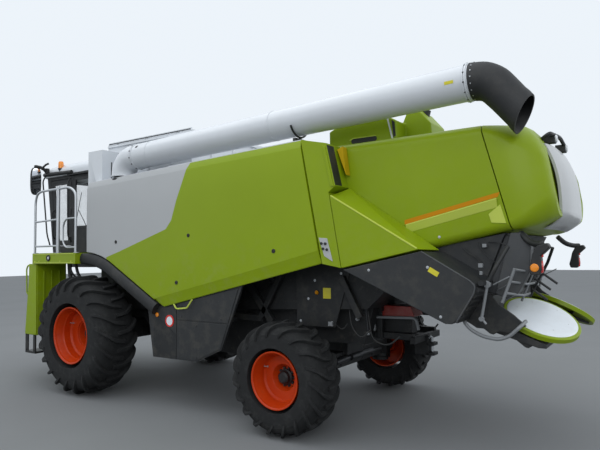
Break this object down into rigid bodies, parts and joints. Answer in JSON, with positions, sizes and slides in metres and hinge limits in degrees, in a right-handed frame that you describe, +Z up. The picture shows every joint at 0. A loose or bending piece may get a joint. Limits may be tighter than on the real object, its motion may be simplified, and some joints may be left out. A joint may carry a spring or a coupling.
{
  "type": "combine harvester",
  "caption": "Self-propelled combine harvester: cab, grain tank with lids, swinging unloading auger, feeder house on lift cylinders, straw hood, spreader rotors, steered rear wheels.",
  "frame": {"origin": "on the ground under the middle of the bounding box", "axes": "+X forward, towards the feeder house, +Y to the driver's left, +Z up"},
  "size_m": [9.2273, 3.49, 3.96],
  "materials": {
    "leaf_green_paint": "gloss leaf green paint",
    "pale_grey_paint": "pale grey paint",
    "dark_grey_plastic": "dark grey moulded plastic and coated sheet",
    "dark_steel": "black painted steel",
    "chromed_rod": "hard chromed rod",
    "orange_red_paint": "orange red paint",
    "tyre_rubber": "black rubber",
    "tinted_glass": "lightly tinted glass",
    "seat_fabric": "dark woven fabric",
    "zinc_grey_rail": "zinc grey tube",
    "cast_iron": "dark painted cast iron"
  },
  "bodies": {
    "chassis": {"threshing_housing": "dark_grey_plastic", "front_axle": "cast_iron", "rear_axle": "cast_iron", "cab_frame": "dark_grey_plastic", "cab_roof": "pale_grey_paint", "windscreen": "tinted_glass", "quarter_glass": "tinted_glass", "right_glass": "tinted_glass", "driver_seat": "seat_fabric", "steering_column": "dark_grey_plastic", "grain_tank": "pale_grey_paint", "engine_block": "cast_iron", "engine_deck": "pale_grey_paint", "engine_hood": "leaf_green_paint", "straw_hood": "leaf_green_paint", "rear_cover": "leaf_green_paint", "rear_silver_panel": "pale_grey_paint", "chopper_housing": "dark_grey_plastic", "left_fender": "dark_grey_plastic", "right_fender": "dark_grey_plastic", "left_wedge_panel": "leaf_green_paint", "right_wedge_panel": "leaf_green_paint", "left_platform": "leaf_green_paint", "platform_rails": "zinc_grey_rail", "left_mirror": "dark_grey_plastic", "right_mirror": "dark_grey_plastic"},
    "unloading_auger": {"auger_tube": "pale_grey_paint", "auger_spout": "dark_grey_plastic"},
    "feeder": {"feeder_house": "leaf_green_paint"},
    "cab_door": {"cab_door": "dark_grey_plastic", "door_glass": "tinted_glass"},
    "boarding_ladder": {"boarding_ladder": "leaf_green_paint"},
    "front_left_wheel": {"front_left_rim": "orange_red_paint", "front_left_tyre": "tyre_rubber"},
    "rear_left_steer": {"rear_left_knuckle": "cast_iron"},
    "rear_left_wheel": {"rear_left_rim": "orange_red_paint", "rear_left_tyre": "tyre_rubber"},
    "front_right_wheel": {"front_right_rim": "orange_red_paint", "front_right_tyre": "tyre_rubber"},
    "rear_right_steer": {"rear_right_knuckle": "cast_iron"},
    "rear_right_wheel": {"rear_right_rim": "orange_red_paint", "rear_right_tyre": "tyre_rubber"},
    "left_lift_barrel": {"left_lift_barrel": "dark_steel"},
    "left_lift_rod": {"left_lift_rod": "chromed_rod"},
    "right_lift_barrel": {"right_lift_barrel": "dark_steel"},
    "right_lift_rod": {"right_lift_rod": "chromed_rod"},
    "left_side_panel": {"left_side_panel": "leaf_green_paint"},
    "right_side_panel": {"right_side_panel": "leaf_green_paint"},
    "left_tank_lid": {"left_tank_lid": "pale_grey_paint"},
    "right_tank_lid": {"right_tank_lid": "pale_grey_paint"},
    "left_rotor": {"left_spreader_rotor": "leaf_green_paint"},
    "right_rotor": {"right_spreader_rotor": "leaf_green_paint"}
  },
  "joints": [
    {"name": "front_left_wheel_spin", "type": "hinge", "parent": "chassis", "child": "front_left_wheel", "pos_m": [2.214, 1.42, 0.89567], "axis": [0, 1, 0], "continuous": true},
    {"name": "rear_left_steer", "type": "hinge", "parent": "chassis", "child": "rear_left_steer", "pos_m": [-1.606, 1.08, 0.67185], "axis": [0, 0, 1], "range_deg": [-35, 35]},
    {"name": "rear_left_wheel_spin", "type": "hinge", "parent": "rear_left_steer", "child": "rear_left_wheel", "pos_m": [-1.606, 1.42, 0.65185], "axis": [0, 1, 0], "continuous": true},
    {"name": "front_right_wheel_spin", "type": "hinge", "parent": "chassis", "child": "front_right_wheel", "pos_m": [2.214, -1.42, 0.89567], "axis": [0, 1, 0], "continuous": true},
    {"name": "rear_right_steer", "type": "hinge", "parent": "chassis", "child": "rear_right_steer", "pos_m": [-1.606, -1.08, 0.67185], "axis": [0, 0, 1], "range_deg": [-35, 35]},
    {"name": "rear_right_wheel_spin", "type": "hinge", "parent": "rear_right_steer", "child": "rear_right_wheel", "pos_m": [-1.606, -1.42, 0.65185], "axis": [0, 1, 0], "continuous": true},
    {"name": "auger_swing", "type": "hinge", "parent": "chassis", "child": "unloading_auger", "pos_m": [1.534, 1.25, 3.568], "axis": [0, 0, -1], "range_deg": [0, 105]},
    {"name": "feeder_lift", "type": "hinge", "parent": "chassis", "child": "feeder", "pos_m": [2.934, 0, 1.58], "axis": [0, -1, 0], "range_deg": [-8, 18]},
    {"name": "left_lift_tilt", "type": "hinge", "parent": "chassis", "child": "left_lift_barrel", "pos_m": [2.514, 0.45, 0.66], "axis": [0, -1, 0], "range_deg": [-6, 12]},
    {"name": "left_lift_extend", "type": "slide", "parent": "left_lift_barrel", "child": "left_lift_rod", "axis": [0.995, 0, 0.0995], "range_m": [-0.15, 0.28]},
    {"name": "right_lift_tilt", "type": "hinge", "parent": "chassis", "child": "right_lift_barrel", "pos_m": [2.514, -0.45, 0.66], "axis": [0, -1, 0], "range_deg": [-6, 12]},
    {"name": "right_lift_extend", "type": "slide", "parent": "right_lift_barrel", "child": "right_lift_rod", "axis": [0.995, 0, 0.0995], "range_m": [-0.15, 0.28]},
    {"name": "cab_door_open", "type": "hinge", "parent": "chassis", "child": "cab_door", "pos_m": [3.466, 0.9, 2.17], "axis": [0, 0, 1], "range_deg": [0, 90]},
    {"name": "ladder_swing", "type": "hinge", "parent": "chassis", "child": "boarding_ladder", "pos_m": [3.544, 1.5, 1.9], "axis": [0, 0, 1], "range_deg": [0, 90]},
    {"name": "left_panel_open", "type": "hinge", "parent": "chassis", "child": "left_side_panel", "pos_m": [2.174, 1.415, 3.23], "axis": [0.9993, 0, -0.037], "range_deg": [0, 75]},
    {"name": "right_panel_open", "type": "hinge", "parent": "chassis", "child": "right_side_panel", "pos_m": [2.174, -1.415, 3.23], "axis": [-0.9993, 0, 0.037], "range_deg": [0, 75]},
    {"name": "left_lid_open", "type": "hinge", "parent": "chassis", "child": "left_tank_lid", "pos_m": [2.384, 0.92, 3.9453], "axis": [-1, 0, 0], "range_deg": [0, 95]},
    {"name": "right_lid_open", "type": "hinge", "parent": "chassis", "child": "right_tank_lid", "pos_m": [2.384, -0.92, 3.9453], "axis": [1, 0, 0], "range_deg": [0, 95]},
    {"name": "left_rotor_spin", "type": "hinge", "parent": "chassis", "child": "left_rotor", "pos_m": [-4.266, 0.62, 1.406], "axis": [-0.3685, 0.3071, 0.8774], "continuous": true},
    {"name": "right_rotor_spin", "type": "hinge", "parent": "chassis", "child": "right_rotor", "pos_m": [-4.266, -0.62, 1.406], "axis": [-0.3685, -0.3071, 0.8774], "continuous": true}
  ],
  "couplings": [
    {"joint": "rear_right_steer", "follows": "rear_left_steer", "ratio": 1},
    {"joint": "left_lift_tilt", "follows": "feeder_lift", "ratio": 0.57},
    {"joint": "left_lift_extend", "follows": "feeder_lift", "m_per_rad": 0.84},
    {"joint": "right_lift_tilt", "follows": "feeder_lift", "ratio": 0.57},
    {"joint": "right_lift_extend", "follows": "feeder_lift", "m_per_rad": 0.84}
  ]
}
